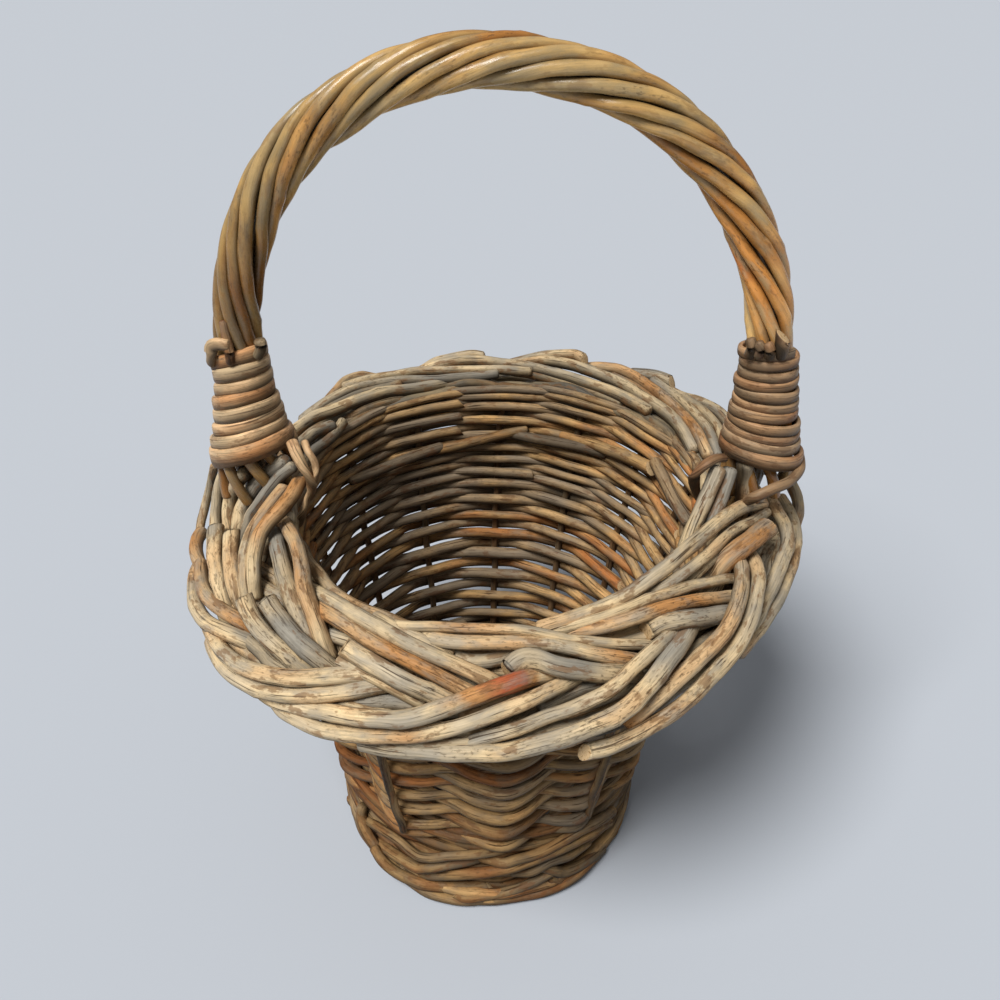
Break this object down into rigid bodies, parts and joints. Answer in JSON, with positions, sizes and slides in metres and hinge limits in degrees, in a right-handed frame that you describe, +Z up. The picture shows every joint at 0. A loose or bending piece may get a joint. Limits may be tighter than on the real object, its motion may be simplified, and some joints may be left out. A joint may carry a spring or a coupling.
{
  "type": "gathering basket",
  "caption": "Round willow gathering basket with a woven tapering wall, a plaited border and a roped arch handle bound to the border at both sides.",
  "frame": {"origin": "middle of the foot, on the surface the basket stands on", "axes": "+Z up, the handle's arch in the XZ plane, front towards -Y"},
  "size_m": [0.25, 0.25, 0.3568],
  "materials": {
    "stake_willow": "satin",
    "weaving_willow": "satin",
    "border_willow": "satin",
    "bottom_willow": "satin",
    "handle_willow": "satin",
    "binding_willow": "satin"
  },
  "bodies": {
    "root": {"binding_left": "binding_willow", "binding_right": "binding_willow", "border_rod_1a": "border_willow", "border_rod_1b": "border_willow", "border_rod_2a": "border_willow", "border_rod_2b": "border_willow", "border_rod_3a": "border_willow", "border_rod_3b": "border_willow", "bottom_rod_1": "bottom_willow", "bottom_rod_2": "bottom_willow", "bottom_stick_across_1": "bottom_willow", "bottom_stick_across_2": "bottom_willow", "bottom_stick_along_1": "bottom_willow", "bottom_stick_along_2": "bottom_willow", "foot_rod_inner": "weaving_willow", "foot_rod_outer": "weaving_willow", "foot_rod_upper": "weaving_willow", "handle_bow": "handle_willow", "handle_strand_1": "handle_willow", "handle_strand_2": "handle_willow", "handle_strand_3": "handle_willow", "handle_strand_4": "handle_willow", "handle_strand_5": "handle_willow", "handle_strand_6": "handle_willow", "handle_strand_7": "handle_willow", "handle_strand_8": "handle_willow", "lay_rod_back": "border_willow", "lay_rod_front": "border_willow", "lay_rod_inner": "border_willow", "outer_rod_left": "stake_willow", "outer_rod_right": "stake_willow", "stake_1": "stake_willow", "stake_10": "stake_willow", "stake_11": "stake_willow", "stake_12": "stake_willow", "stake_2": "stake_willow", "stake_3": "stake_willow", "stake_4": "stake_willow", "stake_5": "stake_willow", "stake_6": "stake_willow", "stake_7": "stake_willow", "stake_8": "stake_willow", "stake_9": "stake_willow", "weaving_rod_1": "weaving_willow", "weaving_rod_10": "weaving_willow", "weaving_rod_11": "weaving_willow", "weaving_rod_12": "weaving_willow", "weaving_rod_2": "weaving_willow", "weaving_rod_3": "weaving_willow", "weaving_rod_4": "weaving_willow", "weaving_rod_5": "weaving_willow", "weaving_rod_6": "weaving_willow", "weaving_rod_7": "weaving_willow", "weaving_rod_8": "weaving_willow", "weaving_rod_9": "weaving_willow"}
  },
  "joints": []
}
